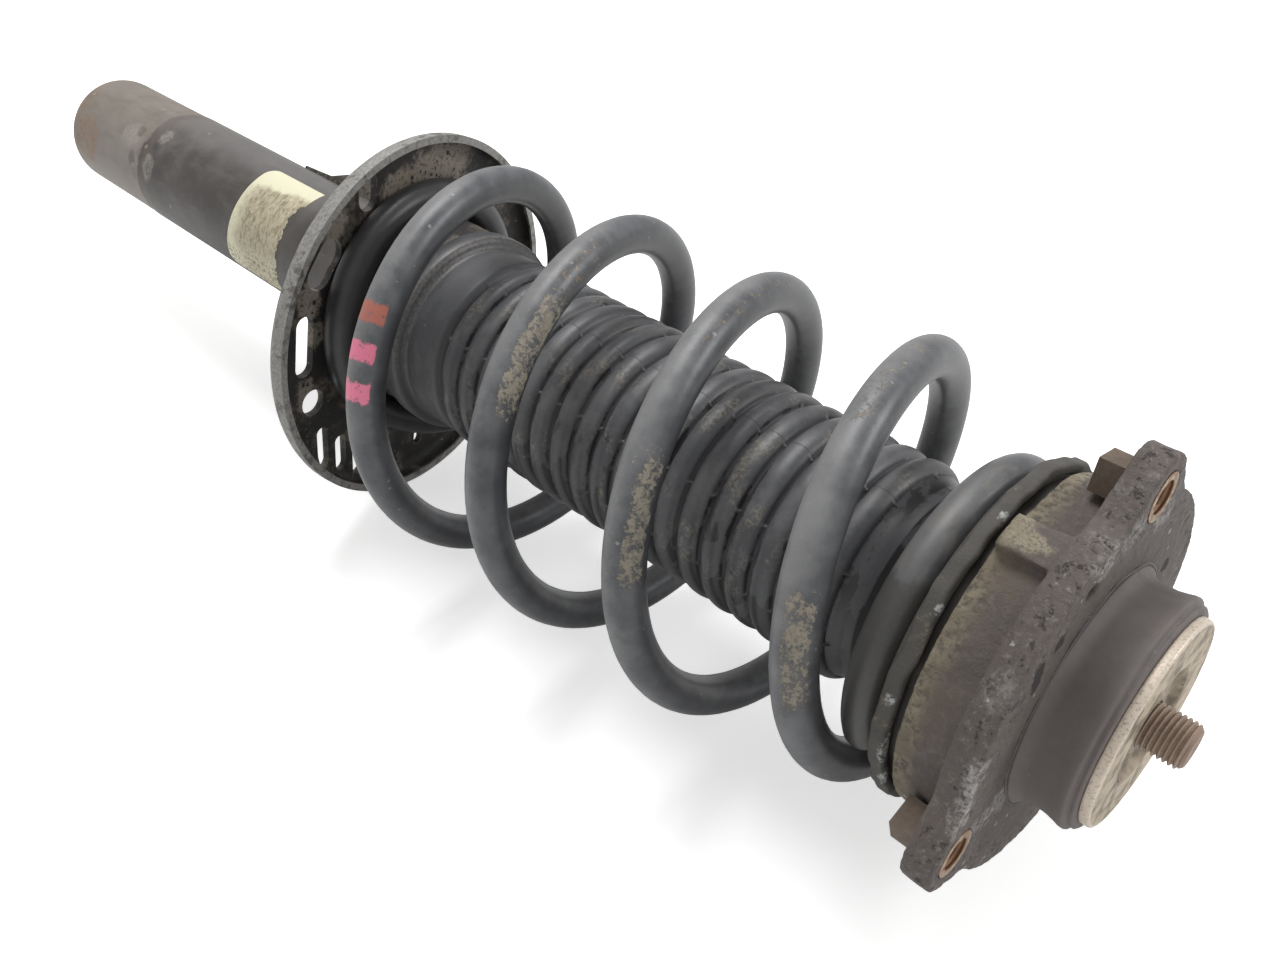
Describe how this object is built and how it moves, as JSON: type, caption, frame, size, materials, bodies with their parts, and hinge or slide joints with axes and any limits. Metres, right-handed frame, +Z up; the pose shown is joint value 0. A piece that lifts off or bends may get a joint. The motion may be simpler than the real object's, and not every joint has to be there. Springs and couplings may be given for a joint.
{
  "type": "suspension strut",
  "caption": "Front suspension strut: damper tube with a tilted lower spring seat, an open coil spring over a ribbed dust boot, and a turning top mount with fastening ears.",
  "frame": {"origin": "on the strut's axis, where the clamped foot of the tube begins, 4 mm above its rounded closed end", "axes": "+X along the strut towards the top mount, +Z up as the strut lies on its side, +Y to the left of +X"},
  "size_m": [0.6015, 0.1547, 0.1587],
  "materials": {
    "tube_paint": "worn satin black paint with road dust",
    "seat_paint": "worn black paint with brown dust",
    "spring_paint": "satin blue-grey coating with dirt patches",
    "bare_steel": "machined",
    "rod_chrome": "polished, with a rusty thread",
    "boot_rubber": "satin with dust on the crests",
    "mount_rubber": "matte, dusty",
    "bump_foam": "cellular foam",
    "cast_aluminium": "weathered casting with beige dirt and white oxide",
    "insert_steel": "rusty",
    "plate_steel": "tan stained steel with a bright rim",
    "label_film": "bare cream film, dirty",
    "cage_plastic": "moulded nylon"
  },
  "bodies": {
    "strut": {"strut_tube": "tube_paint", "tube_base": "bare_steel", "base_valve": "bare_steel", "inner_cylinder": "bare_steel", "rod_guide": "bare_steel", "rod_seal": "mount_rubber", "tube_top_cap": "bare_steel", "lower_spring_seat": "seat_paint", "hose_bracket": "seat_paint", "label": "label_film", "coil_spring": "spring_paint", "dust_boot": "boot_rubber"},
    "spring_top": {"upper_spring_seat": "tube_paint", "spring_pad": "mount_rubber", "bearing_lower_race": "bare_steel"},
    "ball_ring": {"bearing_cage": "cage_plastic", "bearing_balls": "bare_steel"},
    "top_mount": {"piston": "bare_steel", "piston_ring": "cage_plastic", "piston_nut": "bare_steel", "rebound_stop": "bare_steel", "piston_rod": "rod_chrome", "bump_stop": "bump_foam", "bearing_upper_race": "bare_steel", "mount_housing": "cast_aluminium", "mount_rubber": "mount_rubber", "mount_sleeve": "bare_steel", "threaded_inserts": "insert_steel", "rod_washer": "bare_steel", "rod_nut": "bare_steel", "stop_plate": "plate_steel"}
  },
  "joints": [
    {"name": "strut_travel", "type": "slide", "parent": "strut", "child": "spring_top", "axis": [-1, 0, 0], "range_m": [0, 0.12], "stiffness_N_per_m": 20000, "springref_m": -0.02, "deforming": ["coil_spring", "dust_boot", "bump_stop"]},
    {"name": "mount_turn", "type": "hinge", "parent": "spring_top", "child": "top_mount", "pos_m": [0.546, 0, 0], "axis": [1, 0, 0], "continuous": true},
    {"name": "ball_ring_turn", "type": "hinge", "parent": "spring_top", "child": "ball_ring", "pos_m": [0.5425, 0, 0], "axis": [1, 0, 0], "continuous": true}
  ],
  "couplings": [
    {"joint": "ball_ring_turn", "follows": "mount_turn", "ratio": 0.5}
  ]
}
